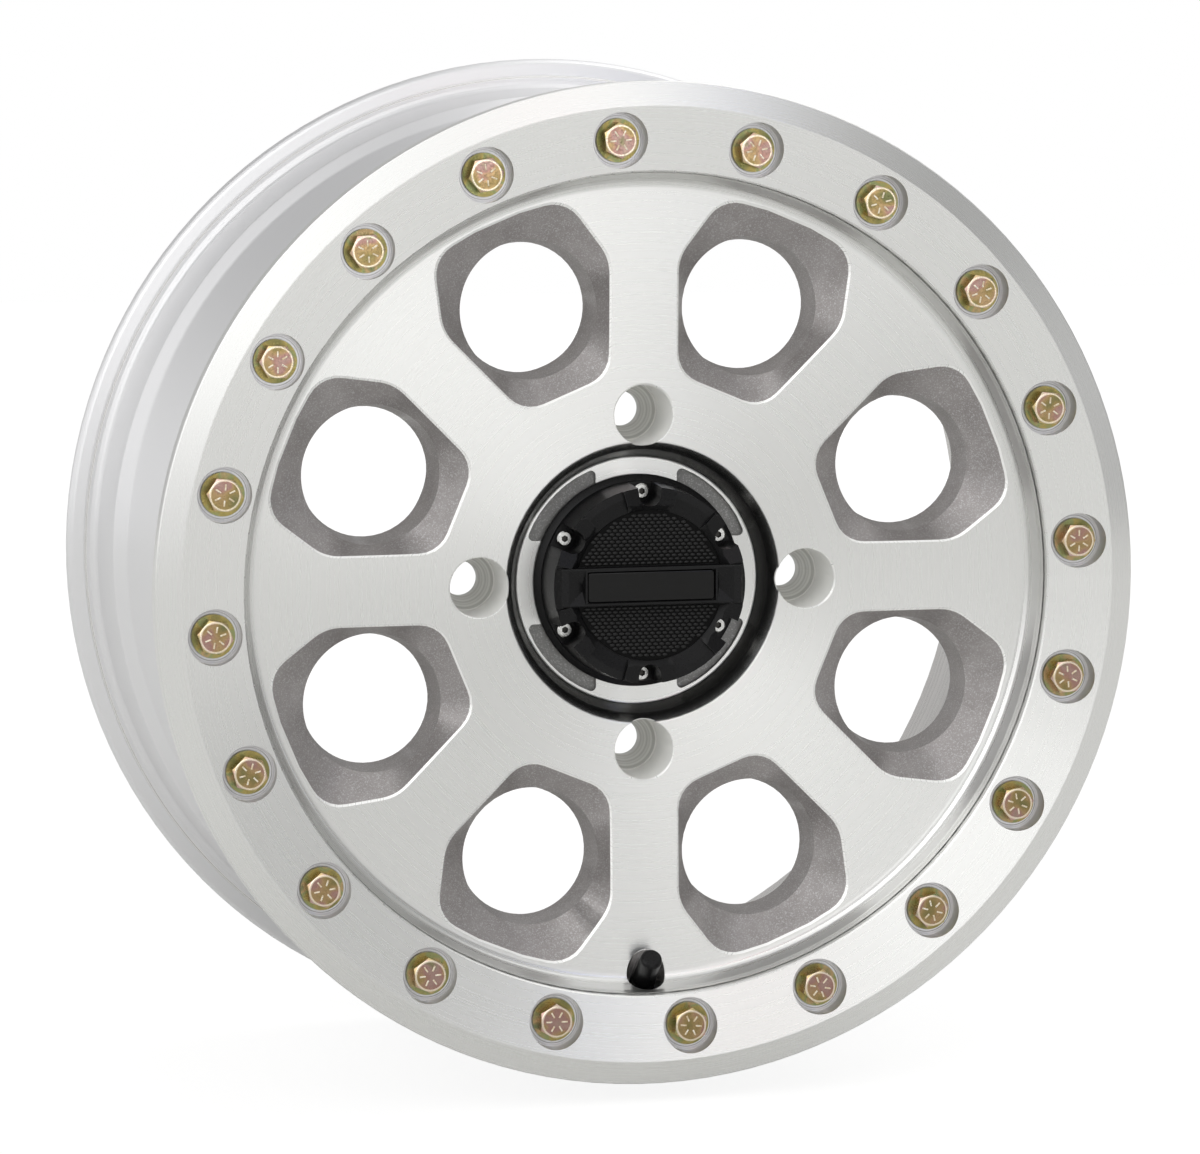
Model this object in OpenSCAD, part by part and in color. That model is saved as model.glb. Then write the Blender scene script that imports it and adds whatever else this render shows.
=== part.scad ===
// Beadlock wheel: a one-piece cast wheel whose outer tyre bead is clamped by a bolted ring.
// Millimetres. The axle runs along Y, the face looks towards -Y and +Z is up.
// Every module works in an axial frame: x and y across the wheel, z the depth behind the
// plane of the ring bolts. placed() turns that frame into the wheel's own.

/* [Overall] */
// Width over the clamp ring and the rear flange
overall_w = 204; // [190:1:250]
// Radius of the rear flange
flange_r = 211.9; // [195:0.1:260]
// Height of the rear flange above the bead seat
flange_h = 12.7; // [11:0.1:16]
// How far the drop centre lies below the bead seat
well_drop = 21.2; // [19:0.1:23]
// Thickness of the barrel wall
barrel_wall = 6; // [4.5:0.5:8]

/* [Clamp ring] */
// How much smaller than the rear flange the clamp ring is, on the radius
ring_step = 8.2; // [5:0.1:11]
// Width of the bevel round the clamp ring
ring_bevel_w = 9.8; // [7.5:0.1:11]
// Width of the clamp ring from its outside to its bore
ring_w = 36.3; // [35:0.1:38]
// Depth of the clamp ring's seat behind the plane of the bolts
ring_seat = 8.5; // [7:0.5:11]
// Distance from the outside of the clamp ring to the circle of bolts
bolt_inset = 23.2; // [22:0.1:24]
// Number of ring bolts
bolt_count = 20; // [12:1:24]
// Turn of the first ring bolt from the top, clockwise
bolt_phase = -4.6; // [-9:0.1:0]
// Diameter of a bolt's counterbore
counterbore_dia = 22.6; // [20:0.1:23]
// Depth of a bolt's counterbore
counterbore_depth = 5; // [4:0.5:6]

/* [Ring bolts] */
// Thread diameter of a ring bolt
bolt_dia = 7.94; // [6:0.02:8.2]
// Length of a ring bolt under its head
bolt_length = 25; // [20:1:26]
// Width of a bolt head across its flats
head_flats = 12.7; // [11:0.1:14]
// Height of a bolt head
head_height = 5.4; // [4.5:0.1:6]
// Outside diameter of a washer
washer_dia = 17.5; // [15:0.5:19]
// Thickness of a washer
washer_t = 1.6; // [1:0.1:2]

/* [Face] */
// Depth of the machined face at the rim
face_depth = 16; // [15:0.5:18]
// How much deeper the machined face is at the hub
face_dish = 2.6; // [2:0.1:4]
// Depth of the back of the face between the windows
face_back = 40; // [38:0.5:44]
// Number of windows
window_count = 8; // [8, 9]
// Distance from the axle to the inner edge of a window
window_in = 83.9; // [82:0.1:92]
// Distance between a window and the clamp ring's bore
window_margin = 7.7; // [6.5:0.1:14]
// Radius of a window's bore, as a share of the window's length
window_bore = 0.374; // [0.3:0.002:0.38]
// Draft that a window's bore loses in radius towards the back
window_draft = 1.7; // [0.5:0.1:3]
// Depth at which a window's flare meets its bore
flare_depth = 25.5; // [23:0.5:30]
// Width of the bright chamfer round a window
window_lip = 0.7; // [0.3:0.1:1.2]
// Width of a spoke
spoke_w = 28.8; // [24:0.1:32]

/* [Hub] */
// Diameter of the circle of lug holes
lug_circle = 137; // [136:0.5:140]
// Number of lug holes
lug_count = 4; // [4]
// Radius of the deep counterbore round a lug hole
lug_well_r = 12.3; // [11.5:0.1:12.6]
// Radius of a lug hole
lug_hole_r = 7.2; // [6.2:0.1:8]
// Depth at which the lug seats start
lug_seat = 45; // [42:0.5:46]
// Depth of the face that bolts to the hub
mount_depth = 58; // [56:0.5:64]
// Radius of the hub's centre bore
hub_bore_r = 55.2; // [50:0.1:55.5]
// Depth of the hub's centre bore
hub_bore_depth = 10; // [8:0.5:11]
// Radius of the flat face that bolts to the hub
mount_r = 84; // [82:0.5:88]
// Radius of the sunk hub floor
hub_floor_r = 51; // [50:0.1:52]
// Depth of the sunk hub floor
hub_floor = 30.5; // [29:0.5:32]
// Width of the hub floor, from its wall to the opening for the cap
hub_floor_w = 9.5; // [8:0.1:12]
// Half of the width of the lands between the hub's paint pockets
land_half = 17.1; // [15:0.1:19]

/* [Cap] */
// How far the cap's flange lies over the edge of the opening
cap_lap = 2.2; // [1.5:0.1:4]
// How much smaller the cap's front is than its flange, on the radius
cap_taper = 3.7; // [3:0.1:5]
// Depth of the cap's front ring
cap_front = 6.5; // [5.5:0.5:8]
// Distance from the side of the cap's front to the circle of screws
cap_screw_inset = 2.7; // [2.4:0.1:3.2]
// Number of cap screws
cap_screw_count = 6; // [6]
// Diameter of a cap screw's head
cap_head_dia = 6.2; // [5:0.1:6.6]
// Width of the cap's ring, from its side to the woven inserts
cap_ring_w = 9.4; // [9:0.1:10.5]
// Width of the bar across the cap
bar_w = 15.6; // [14:0.1:17]
// Distance from an end of the badge plate to the side of the cap
badge_margin = 13.3; // [13:0.1:15]
// Height of the badge plate
badge_h = 12.6; // [10:0.1:12.8]

/* [Valve] */
// Lean of the valve from the axle
valve_lean = 40; // [36:1:42]
// Distance from the clamp ring's bore to the middle of the valve's pocket
valve_inset = 6.4; // [5.5:0.1:7.5]
// Radius of the valve's pocket
valve_pocket_r = 8.1; // [7.6:0.1:8.4]
// Distance along the valve from the face to the rim's wall
valve_reach = 38; // [36:0.5:40]
// Radius of the valve hole
valve_hole_r = 5.75; // [5.5:0.05:6]

/* [Hidden] */
$fn = 96;

machined = "#d6d6d2";
satin_black = "#1c1c1c";
gold_zinc = "#c9a36a";
brass = "#b8954f";

// Clearance of a bolt in its hole, on the radius
bolt_clearance = 0.35;
// Clearance of a screw in its thread, on the radius
thread_clearance = 0.08;
// Clearance round pieces that are let into another, on each side
inset_clearance = 0.15;
// How far cutting solids run past what they cut
cut = 1;

// How far the crown of the clamp ring stands in front of the plane of the bolts
ring_crown = 3.45;
// Depth of the rearmost edge of the rear flange
back_depth = overall_w - ring_crown;
// Depth at which the bevel meets the outside of the clamp ring
bevel_depth = 0.5;
// Depth of the clamp ring's inner edge
ring_inner_depth = 1.3;

// Radii of the rim, from its flange inwards
bead_r = flange_r - flange_h;
well_r = bead_r - well_drop;
well_in = well_r - barrel_wall;
ring_r = flange_r - ring_step;
ring_bevel_r = ring_r - ring_bevel_w;
bolt_circle_r = ring_r - bolt_inset;
ring_bore_r = ring_r - ring_w;
// Radius of the lip that centres the clamp ring
pilot_r = ring_bore_r - 0.2;
pilot_depth = 5;
// Radius of the outer bead shelf
shelf_r = ring_bevel_r + 0.1;

// Places along a window, as shares of its length
window_out = ring_bore_r - window_margin;
window_length = window_out - window_in;
window_pos = window_in + 0.488 * window_length;
window_knee = window_in + 0.5765 * window_length;
window_r = window_bore * window_length;
// Half of the width of a window at its outer corners
window_half = 0.1853 * window_out;
window_step = 360 / window_count;

lug_r = lug_circle / 2;
valve_pos = ring_bore_r - valve_inset;

// Radii of the cap, from its opening in the hub inwards
cap_bore_r = hub_floor_r - hub_floor_w;
cap_flange_r = cap_bore_r + cap_lap;
cap_r = cap_flange_r - cap_taper;
cap_screw_circle = cap_r - cap_screw_inset;
insert_r = cap_r - cap_ring_w;
badge_l = 2 * (cap_r - badge_margin);

// Depth of the back of the web round the cap
web_back = 37;
under_head = counterbore_depth - washer_t;
tapped_depth = under_head + bolt_length + 3;

function unit(v) = v / norm(v);

// Points of the arc of radius r that rounds the corner at b between a and c
function corner(a, b, c, r, steps) =
    let (
        u = unit(a - b),
        v = unit(c - b),
        half = acos(u * v) / 2,
        centre = b + unit(u + v) * r / sin(half),
        p = b + u * r / tan(half) - centre,
        q = b + v * r / tan(half) - centre,
        start = atan2(p.y, p.x),
        turn = (atan2(q.y, q.x) - start + 540) % 360 - 180
    )
    [for (i = [0:steps]) centre + r * [cos(start + turn * i / steps), sin(start + turn * i / steps)]];

// An outline of [x, y, corner radius] with its corners rounded
function rounded(outline, steps = 5) =
    let (n = len(outline))
    [for (i = [0:n - 1])
        let (
            a = outline[(i + n - 1) % n],
            b = outline[i],
            c = outline[(i + 1) % n]
        )
        each b.z > 0
            ? corner([a.x, a.y], [b.x, b.y], [c.x, c.y], b.z, steps)
            : [[b.x, b.y]]];

// Adds points along the straight edges of an outline, none further apart than step
function spread(points, step) =
    [for (i = [0:len(points) - 1])
        let (
            a = points[i],
            b = points[(i + 1) % len(points)],
            n = max(1, ceil(norm(b - a) / step))
        )
        for (k = [0:n - 1]) a + (b - a) * k / n];

// Moves the axial frame into the wheel's own frame
module placed() {
    translate([0, ring_crown - overall_w / 2, 0])
        rotate([-90, 0, 0])
            children();
}

// Turns what lies along x to the clock angle a, measured clockwise from the top
module at(a) {
    rotate([0, 0, a - 90])
        children();
}

// Repeats a piece round the axle
module ring_of(count, first = 0) {
    for (i = [0:count - 1])
        at(first + i * 360 / count)
            children();
}

// A turned solid from an outline of [radius, depth, corner radius]
module turned(outline, steps = 5) {
    rotate_extrude()
        polygon(rounded(outline, steps));
}

// Wheel casting

// Depth of the machined face at a distance from the axle
function face_at(r) = face_depth + face_dish * (pilot_r - r) / (pilot_r - hub_floor_r);

valve_dir = [sin(valve_lean), cos(valve_lean)];
valve_across = [-cos(valve_lean), sin(valve_lean)];
valve_face = [valve_pos, face_depth];
// Point where the valve leaves the rim's outer wall
valve_exit = valve_face + valve_dir * valve_reach;
// The front slope of the drop centre is square to the valve
slope_top = valve_exit + valve_across * (valve_exit.x - shelf_r) / -valve_across.x;
slope_foot = valve_exit + valve_across * (valve_exit.x - well_r) / -valve_across.x;

// Distances from the back to the hump behind the rear bead seat, and to the end of the slope
// that leads up to it
hump_from_back = 39.5;
slope_from_back = 88;
hump_depth = back_depth - hump_from_back;
hump_r = bead_r - 3.1;
rear_slope = back_depth - slope_from_back;
// Length of the outer bead shelf up to its hump, and the hump's height
shelf_length = 18;
shelf_hump = 2;
// Depth of the flange's front, and the roll of its lip
flange_front = back_depth - 10.4;
lip = 3.5;
// Width of the polished groove wall round the hub
groove_w = 6.6;
groove_r = hub_floor_r + groove_w;
// Radius of the fillet between the face and the rim's inside
face_fillet = 4;
edge = 0.8;

casting_outline = [
    [cap_bore_r, hub_floor, 0],
    [hub_floor_r, hub_floor, 1.2],
    [hub_floor_r + groove_w / 2, hub_floor - 7.5, 8],
    [groove_r, face_at(groove_r), 1.2],
    [pilot_r - face_fillet, face_at(pilot_r - face_fillet), face_fillet],
    [pilot_r - 0.5, face_depth - 6, 2],
    [pilot_r - 0.4, pilot_depth, 0],
    [pilot_r, pilot_depth + 0.4, 0],
    [pilot_r, ring_seat, 0],
    [shelf_r - 1.5, ring_seat, 0],
    [shelf_r, ring_seat + 1.5, 0],
    [shelf_r + 0.6, ring_seat + shelf_length, 2],
    [shelf_r + shelf_hump, ring_seat + shelf_length + 3.5, 1.5],
    [shelf_r + 0.4, slope_top.y - 3, 2],
    [slope_foot.x, slope_foot.y, 10],
    [well_r, rear_slope, 14],
    [hump_r - 5, hump_depth - 6, 5],
    [hump_r + 0.4, hump_depth, 2],
    [hump_r - 0.2, hump_depth + 4, 2],
    [bead_r, flange_front + 0.2, 4.5],
    [bead_r + 5.5, flange_front, 3],
    [flange_r, flange_front + 2.8, 4],
    [flange_r - 1, back_depth - 1, lip],
    [bead_r + lip, back_depth, 3],
    [bead_r - 3, back_depth - lip, 3],
    [bead_r - 7.7, back_depth - 2.5, 1.2],
    [bead_r - 8.2, hump_depth - 1, 10],
    [well_in, rear_slope + 4, 14],
    [well_in, mount_depth + 4, 12],
    [window_pos + window_r + edge, face_back, 14],
    [mount_r + 10, face_back + 2, 8],
    [mount_r, mount_depth, 3],
    [hub_bore_r + edge, mount_depth, 0],
    [hub_bore_r, mount_depth - edge, 0],
    [hub_bore_r, mount_depth - hub_bore_depth, 1],
    [hub_floor_r - 2, mount_depth - hub_bore_depth, 1],
    [hub_floor_r - 2, web_back, 2],
    [cap_bore_r, web_back, 0]
];

// Half of the width of a window at a distance from the axle, along the edge of its spoke
function spoke_side(x) = (x * sin(window_step / 2) - spoke_w / 2) / cos(window_step / 2);

// One window's outline at the face, with x away from the axle
outer_turn = asin(window_half / window_out);
window_side = [
    [window_in, spoke_side(window_in), 13],
    [window_knee, spoke_side(window_knee), 18],
    [window_out * cos(outer_turn), window_half, 13.5],
    [window_out * cos(outer_turn / 3), window_out * sin(outer_turn / 3), 0]
];
window_outline = spread(rounded(concat(
    window_side,
    [for (i = [len(window_side) - 1:-1:0]) [window_side[i].x, -window_side[i].y, window_side[i].z]]
), 5), 6);

// A chamfer round the outline at the face, then a flare that lofts to the round bore.
// Both run on past the face and the bore.
module window_flare() {
    n = len(window_outline);
    run_on = 1.5;
    lip_depth = 0.7 * window_lip;
    edge = [for (p = window_outline) [p.x, p.y, face_at(p.x) + lip_depth]];
    bore = [for (p = window_outline)
        let (a = atan2(p.y, p.x - window_pos))
        [window_pos + window_r * cos(a), window_r * sin(a), flare_depth]];
    slopes = [for (i = [0:n - 1]) (bore[i] - edge[i]) * run_on / (bore[i].z - edge[i].z)];
    front = [for (i = [0:n - 1])
        let (out = unit([-slopes[i].x, -slopes[i].y]) * window_lip)
        edge[i] + [out.x, out.y, -lip_depth] * 2.5];
    back = [for (i = [0:n - 1]) bore[i] + slopes[i]];
    polyhedron(
        points = concat(front, edge, back, [[window_pos, 0, face_depth - 3]]),
        faces = concat(
            [for (k = [0, n], i = [0:n - 1]) [k + i, k + (i + 1) % n, k + n + i]],
            [for (k = [0, n], i = [0:n - 1]) [k + (i + 1) % n, k + n + (i + 1) % n, k + n + i]],
            [for (i = [0:n - 1]) [3 * n, (i + 1) % n, i]],
            [[for (i = [0:n - 1]) 2 * n + i]]
        )
    );
}

module window_cut() {
    bore_length = mount_depth - flare_depth;
    slope = window_draft / (face_back - flare_depth);
    lead = 4;
    window_flare();
    translate([window_pos, 0, flare_depth - lead])
        cylinder(
            h = bore_length + lead,
            r1 = window_r + slope * lead,
            r2 = window_r - slope * bore_length
        );
}

// Deep counterbore, conical nut seat and through hole for one lug
module lug_cut() {
    seat_r = lug_well_r - 0.5;
    seat_length = (seat_r - lug_hole_r) / tan(30);
    mouth = face_at(lug_r) + 0.4;
    translate([lug_r, 0, 0])
        rotate_extrude()
            polygon([
                [0, mouth - 3],
                [lug_well_r + 3, mouth - 3],
                [lug_well_r, mouth],
                [lug_well_r, lug_seat],
                [seat_r, lug_seat],
                [lug_hole_r, lug_seat + seat_length],
                [lug_hole_r, mount_depth + cut],
                [0, mount_depth + cut]
            ]);
}

// Four sunk pockets in the hub floor, with a cross of lands left between them
module hub_pockets() {
    depth = 2.5;
    inner = cap_bore_r + 0.8;
    outer = hub_floor_r - 1.5;
    corner_r = 2;
    start = asin(land_half / outer);
    inner_start = asin(land_half / inner);
    for (quarter = [0:3])
        rotate([0, 0, quarter * 90])
            translate([0, 0, hub_floor - cut])
                linear_extrude(height = depth + cut)
                    polygon(rounded(concat(
                        [[outer * cos(start), land_half, corner_r]],
                        [for (a = [start + 9:6:81 - start]) [outer * cos(a), outer * sin(a), 0]],
                        [[land_half, outer * cos(start), corner_r]],
                        [[land_half, inner * cos(inner_start), 0]],
                        [for (a = [90 - inner_start - 6:-6:inner_start + 3])
                            [inner * cos(a), inner * sin(a), 0]],
                        [[inner * cos(inner_start), land_half, 0]]
                    )));
}

// Lays z along the valve, from the face towards the rim's wall
module along_valve() {
    at(180)
        translate([valve_face.x, 0, valve_face.y])
            rotate([0, valve_lean, 0])
                children();
}

valve_wall = 4.2;

module valve_cut() {
    along_valve() {
        translate([0, 0, -20])
            cylinder(h = 20 + valve_reach - valve_wall, r = valve_pocket_r);
        cylinder(h = valve_reach + 10, r = valve_hole_r);
    }
}

module wheel_casting() {
    color(machined)
        placed()
            difference() {
                turned(casting_outline);
                ring_of(window_count, window_step / 2)
                    window_cut();
                ring_of(lug_count)
                    lug_cut();
                ring_of(bolt_count, bolt_phase)
                    translate([bolt_circle_r, 0, 0])
                        cylinder(h = tapped_depth, r = bolt_dia / 2 + thread_clearance);
                hub_pockets();
                valve_cut();
            }
}

// Clamp ring and its bolts

// Concentric ridges behind the rim of the ring bite into the tyre's bead
ridge_pitch = 2;
ridges = [for (i = [0:2])
    each [
        [ring_r - 2.2 - i * ridge_pitch, ring_seat, 0],
        [ring_r - 3.2 - i * ridge_pitch, ring_seat - 0.7, 0]
    ]];

ring_outline = concat(
    [
        [ring_bore_r, ring_inner_depth + 0.6, 0],
        [ring_bore_r + 0.6, ring_inner_depth, 0],
        [ring_bevel_r, -ring_crown, 0.6],
        [ring_r, bevel_depth, 0.8],
        [ring_r, ring_seat - 1, 1]
    ],
    ridges,
    [
        [shelf_r - 0.5, ring_seat, 0],
        [ring_bore_r, ring_seat, 0]
    ]
);

module beadlock_ring() {
    color(machined)
        placed()
            difference() {
                turned(ring_outline, 4);
                ring_of(bolt_count, bolt_phase)
                    translate([bolt_circle_r, 0, 0]) {
                        translate([0, 0, -ring_crown - cut])
                            cylinder(h = ring_crown + cut + counterbore_depth, d = counterbore_dia);
                        cylinder(h = ring_seat + cut, r = bolt_dia / 2 + bolt_clearance);
                    }
            }
}

// Hexagon bolt with a chamfered head and a pointed end, its head towards the viewer
module ring_bolt() {
    chamfer_h = 0.55;
    point = 1.2;
    corner_r = head_flats / sqrt(3);
    translate([0, 0, under_head]) {
        difference() {
            intersection() {
                translate([0, 0, -head_height])
                    cylinder(h = head_height, r = corner_r, $fn = 6);
                translate([0, 0, -head_height])
                    cylinder(
                        h = head_height,
                        r1 = head_flats / 2 - 0.25,
                        r2 = head_flats / 2 - 0.25 + head_height * tan(60)
                    );
            }
            translate([0, 0, -head_height - cut])
                cylinder(h = cut + 0.15, r = head_flats / 2 - chamfer_h - 0.35);
        }
        cylinder(h = bolt_length - point, d = bolt_dia);
        translate([0, 0, bolt_length - point])
            cylinder(h = point, d1 = bolt_dia, d2 = bolt_dia - 2 * point);
    }
}

module ring_bolts() {
    // The heads stop at different angles when they are tightened
    color(gold_zinc)
        placed()
            for (i = [0:bolt_count - 1])
                at(bolt_phase + i * 360 / bolt_count)
                    translate([bolt_circle_r, 0, 0])
                        rotate([0, 0, 37 * i % 60])
                            ring_bolt();
}

module ring_washers() {
    color(gold_zinc)
        placed()
            ring_of(bolt_count, bolt_phase)
                translate([bolt_circle_r, 0, under_head])
                    difference() {
                        cylinder(h = washer_t, d = washer_dia);
                        translate([0, 0, -cut])
                            cylinder(h = washer_t + 2 * cut, r = bolt_dia / 2 + bolt_clearance);
                    }
}

// Centre cap

cap_joint = 27;
cap_screw_seat = 24.5;
cap_screw_length = 9;
cap_head_h = 3;
cap_screw_dia = 3.4;
cap_rim_in = cap_bore_r - 9;
cap_rim_back = 35;
leg_in = cap_bore_r - 2.8;
leg_out = cap_bore_r - 0.3;
leg_end = web_back + 4;
clip_wire_r = 0.7;
clip_depth = web_back + 1.8;
insert_t = 1.3;
insert_front = cap_front + 3;
bar_front = cap_front - 1.1;
badge_t = 1.2;
badge_floor = bar_front + 1.7;

module cap_screw_hole(r) {
    ring_of(cap_screw_count)
        translate([cap_screw_circle, 0, cap_screw_seat])
            cylinder(h = cap_screw_length + 0.5, r = r);
}

// Flange, screw rim and snap legs that hold the cap in the hub
module cap_base() {
    slot_w = 14;
    color(satin_black)
        placed()
            difference() {
                union() {
                    turned([
                        [0, cap_joint, 0],
                        [cap_flange_r - 2.6, cap_joint, 0],
                        [cap_flange_r, hub_floor - 1.6, 0.8],
                        [cap_flange_r, hub_floor, 0],
                        [leg_out, hub_floor, 0],
                        [leg_out, cap_rim_back, 0],
                        [cap_rim_in, cap_rim_back, 0],
                        [cap_rim_in, hub_floor - 1, 1],
                        [0, hub_floor - 1, 0]
                    ]);
                    difference() {
                        turned([
                            [leg_in, cap_rim_back - cut, 0],
                            [leg_out, cap_rim_back - cut, 0],
                            [leg_out, web_back + 0.2, 0],
                            [cap_bore_r + 0.8, web_back + 0.6, 0],
                            [leg_out - 0.4, leg_end, 0],
                            [leg_in, leg_end, 0],
                            [leg_in, clip_depth + clip_wire_r, 0],
                            [leg_in + 0.3, clip_depth, 0],
                            [leg_in, clip_depth - clip_wire_r, 0]
                        ]);
                        ring_of(cap_screw_count, 180 / cap_screw_count)
                            translate([0, -slot_w / 2, cap_rim_back])
                                cube([cap_flange_r, slot_w, leg_end]);
                    }
                }
                cap_screw_hole(cap_screw_dia / 2 + thread_clearance);
            }
}

// Round spring that presses the snap legs outwards
module cap_clip_ring() {
    color("silver")
        placed()
            translate([0, 0, clip_depth])
                rotate_extrude()
                    translate([leg_in - clip_wire_r, 0])
                        circle(r = clip_wire_r, $fn = 24);
}

notch_r = 4.6;
notch_pos = cap_screw_circle - 0.5;

// An open notch that lets one screw's head sit deep in the side of the cover
module cap_notch() {
    translate([0, 0, -cut]) {
        translate([notch_pos, 0, 0])
            cylinder(h = cap_screw_seat + cut, r = notch_r);
        linear_extrude(height = cap_screw_seat + cut)
            polygon([
                [notch_pos, -notch_r],
                [cap_r + 5, -notch_r - 1],
                [cap_r + 5, notch_r + 1],
                [notch_pos, notch_r]
            ]);
    }
}

// Angle from a notch to the ridge of the ear beside it
ear_angle = 16.8;
// Inside radius of the ears
ear_in = cap_r - 6.4;
// How much the top of an ear falls from its ridge to the middle of its notch
ear_fall = 3;
// How far the stretch between two ears lies below their ridges
stretch_drop = 1.9;
// Radius where the flat part of that stretch starts
stretch_flat_r = cap_r - 3.2;

// What is cut from the cap's ring between two notches: a low stretch with a wide bevel,
// and the slopes of the ears on both sides
module cap_step() {
    half = 180 / cap_screw_count - ear_angle;
    ear_w = cap_screw_circle * sin(ear_angle) - notch_r / 2;
    land = 0.3;
    slope = ear_fall / (ear_w + notch_r / 2);
    rotate([0, 0, -half])
        rotate_extrude(angle = 2 * half)
            polygon([
                [insert_r + 0.2, cap_front - cut],
                [insert_r + 0.2, insert_front],
                [stretch_flat_r, cap_front + stretch_drop],
                [cap_r + cut, cap_front + stretch_drop],
                [cap_r + cut, cap_front - cut]
            ]);
    for (side = [-1, 1])
        rotate([0, 0, side * half])
            translate([ear_in - cut, 0, cap_front])
                rotate([90, 0, 90])
                    linear_extrude(height = cap_r)
                        polygon([
                            [side * (land - cut), -slope * cut],
                            [side * ear_w, slope * (ear_w - land)],
                            [side * ear_w, -cut]
                        ]);
}

// The half disc on one side of the bar, a clearance larger when it is a pocket
module half_disc(side, clearance, h) {
    flat = bar_w / 2 + 0.5 - clearance;
    intersection() {
        cylinder(h = h, r = insert_r + clearance);
        translate([-insert_r - cut, side > 0 ? -insert_r - cut - flat : flat, -cut])
            cube([2 * (insert_r + cut), insert_r + cut, h + 2 * cut]);
    }
}

// The bar has bevelled sides and ends that slope to the rim of the cap
module cap_bar() {
    half = bar_w / 2;
    end = cap_r - 2.4;
    bevel = 0.5;
    slope = 2;
    height = 7;
    translate([0, 0, bar_front])
        intersection() {
            translate([-cap_r, 0, 0])
                rotate([90, 0, 90])
                    linear_extrude(height = 2 * cap_r)
                        polygon([
                            [-half, height],
                            [-half, bevel],
                            [-half + bevel, 0],
                            [half - bevel, 0],
                            [half, bevel],
                            [half, height]
                        ]);
            translate([0, half, 0])
                rotate([90, 0, 0])
                    linear_extrude(height = 2 * half)
                        polygon([
                            [-end, 0],
                            [end, 0],
                            [end + slope, slope * 1.6],
                            [end + slope, height],
                            [-end - slope, height],
                            [-end - slope, slope * 1.6]
                        ]);
            cylinder(h = height, r = cap_r - 0.1);
        }
}

// Hollow with four sloping faces at the end of the bar on the +x side
module bar_hollow() {
    near = badge_l / 2 + 0.9;
    far = near + 7;
    half = bar_w / 2 - 0.8;
    foot = 1.5;
    depth = 2;
    over = 0.25;
    lift = depth * over;
    x0 = near - over;
    x1 = far + over * (far - near - 1);
    y1 = half + over * (half - foot);
    translate([0, 0, bar_front])
        polyhedron(
            points = [
                [x0, -y1, -lift], [x1, -y1, -lift], [x1, y1, -lift], [x0, y1, -lift],
                [near + 1, -foot, depth], [near + 1, foot, depth]
            ],
            faces = [[0, 1, 2, 3], [1, 0, 4], [3, 2, 5], [0, 3, 5], [0, 5, 4], [2, 1, 4], [2, 4, 5]]
        );
}

module cap_cover() {
    cavity_r = insert_r - 2.1;
    skin = 2.6;
    color(satin_black)
        placed()
            difference() {
                union() {
                    difference() {
                        turned([
                            [0, insert_front + insert_t, 0],
                            [insert_r + 0.2, insert_front + insert_t, 0],
                            [insert_r + 0.2, insert_front, 0],
                            [insert_r + 3.4, cap_front, 0],
                            [cap_r - 0.9, cap_front, 0.6],
                            [cap_r, cap_front + 1.1, 0.6],
                            [cap_flange_r - 2.6, cap_joint, 0],
                            [0, cap_joint, 0]
                        ]);
                        ring_of(cap_screw_count, 180 / cap_screw_count)
                            cap_step();
                    }
                    cap_bar();
                }
                for (turn = [0, 180])
                    rotate([0, 0, turn])
                        bar_hollow();
                ring_of(cap_screw_count)
                    cap_notch();
                translate([
                    -badge_l / 2 - inset_clearance,
                    -badge_h / 2 - inset_clearance,
                    bar_front - cut
                ])
                    cube([
                        badge_l + 2 * inset_clearance,
                        badge_h + 2 * inset_clearance,
                        badge_floor - bar_front + cut
                    ]);
                translate([0, 0, insert_front + insert_t + skin])
                    cylinder(h = cap_joint, r = cavity_r);
                cap_screw_hole(cap_screw_dia / 2 + bolt_clearance);
            }
}

// Plain plate let into the bar, with a bevelled edge
module cap_badge() {
    bevel = 0.7;
    x = badge_l / 2;
    y = badge_h / 2;
    color("#101010")
        placed()
            translate([0, 0, badge_floor - badge_t])
                intersection() {
                    translate([-x, 0, 0])
                        rotate([90, 0, 90])
                            linear_extrude(height = 2 * x)
                                polygon([
                                    [-y + bevel, 0],
                                    [y - bevel, 0],
                                    [y, bevel],
                                    [y, badge_t],
                                    [-y, badge_t],
                                    [-y, bevel]
                                ]);
                    translate([0, y, 0])
                        rotate([90, 0, 0])
                            linear_extrude(height = 2 * y)
                                polygon([
                                    [-x + bevel, 0],
                                    [x - bevel, 0],
                                    [x, bevel],
                                    [x, badge_t],
                                    [-x, badge_t],
                                    [-x, bevel]
                                ]);
                }
}

module cap_insert(side) {
    color("#141414")
        placed()
            translate([0, 0, insert_front])
                half_disc(side, 0, insert_t);
}

module cap_insert_upper() {
    cap_insert(1);
}

module cap_insert_lower() {
    cap_insert(-1);
}

// Socket head screws, their heads sunk in the notches
module cap_screws() {
    socket_flats = 2.5;
    color("#d9d9d9")
        placed()
            ring_of(cap_screw_count)
                translate([cap_screw_circle, 0, cap_screw_seat])
                    difference() {
                        rotate_extrude()
                            polygon([
                                [0, -cap_head_h],
                                [cap_head_dia / 2 - 0.5, -cap_head_h],
                                [cap_head_dia / 2, -cap_head_h + 0.5],
                                [cap_head_dia / 2, 0],
                                [cap_screw_dia / 2, 0],
                                [cap_screw_dia / 2, cap_screw_length - 0.6],
                                [cap_screw_dia / 2 - 0.6, cap_screw_length],
                                [0, cap_screw_length]
                            ]);
                        translate([0, 0, -cap_head_h - cut])
                            cylinder(h = cut + 1.5, r = socket_flats / sqrt(3), $fn = 6);
                    }
}

// Valve, along its own axis: 0 at the face, positive towards the rim's wall

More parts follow.
